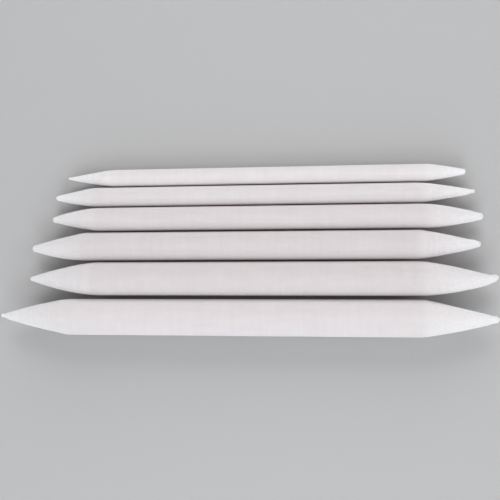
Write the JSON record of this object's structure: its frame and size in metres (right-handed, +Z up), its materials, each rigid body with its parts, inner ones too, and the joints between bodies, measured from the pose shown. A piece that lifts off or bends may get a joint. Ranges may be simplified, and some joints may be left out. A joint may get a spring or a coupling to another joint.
{
  "type": "blending stump set",
  "caption": "Graded set of double-pointed paper blending stumps, rolled tight and ground to a point at both ends, lying side by side.",
  "frame": {"origin": "in the plane that the stumps rest on, at the centre of the row's bounding box", "axes": "+X along the stumps, +Y from the largest stump towards the smallest, +Z up"},
  "size_m": [0.15, 0.0506, 0.0111],
  "materials": {
    "wrap_paper": "matte, tightly pressed soft paper",
    "ground_paper": "matte, sanded and slightly fuzzy",
    "core_paper": "matte, hard twisted paper",
    "dried_paste": "matte, starch paste soaked into the paper"
  },
  "bodies": {
    "stump_1": {"stump_1_core": "core_paper", "stump_1_windings": "ground_paper", "stump_1_outer_wrap": "wrap_paper", "stump_1_paste_line": "dried_paste"},
    "stump_2": {"stump_2_core": "core_paper", "stump_2_windings": "ground_paper", "stump_2_outer_wrap": "wrap_paper", "stump_2_paste_line": "dried_paste"},
    "stump_3": {"stump_3_core": "core_paper", "stump_3_windings": "ground_paper", "stump_3_outer_wrap": "wrap_paper", "stump_3_paste_line": "dried_paste"},
    "stump_4": {"stump_4_core": "core_paper", "stump_4_windings": "ground_paper", "stump_4_outer_wrap": "wrap_paper", "stump_4_paste_line": "dried_paste"},
    "stump_5": {"stump_5_core": "core_paper", "stump_5_windings": "ground_paper", "stump_5_outer_wrap": "wrap_paper", "stump_5_paste_line": "dried_paste"},
    "stump_6": {"stump_6_core": "core_paper", "stump_6_windings": "ground_paper", "stump_6_outer_wrap": "wrap_paper", "stump_6_paste_line": "dried_paste"}
  },
  "joints": [
    {"name": "lift_stump_1", "type": "slide", "parent": "stump_4", "child": "stump_1", "axis": [0, 0, 1], "range_m": [0, 0.05]},
    {"name": "lift_stump_2", "type": "slide", "parent": "stump_4", "child": "stump_2", "axis": [0, 0, 1], "range_m": [0, 0.05]},
    {"name": "lift_stump_3", "type": "slide", "parent": "stump_4", "child": "stump_3", "axis": [0, 0, 1], "range_m": [0, 0.05]},
    {"name": "lift_stump_5", "type": "slide", "parent": "stump_4", "child": "stump_5", "axis": [0, 0, 1], "range_m": [0, 0.05]},
    {"name": "lift_stump_6", "type": "slide", "parent": "stump_4", "child": "stump_6", "axis": [0, 0, 1], "range_m": [0, 0.05]}
  ]
}
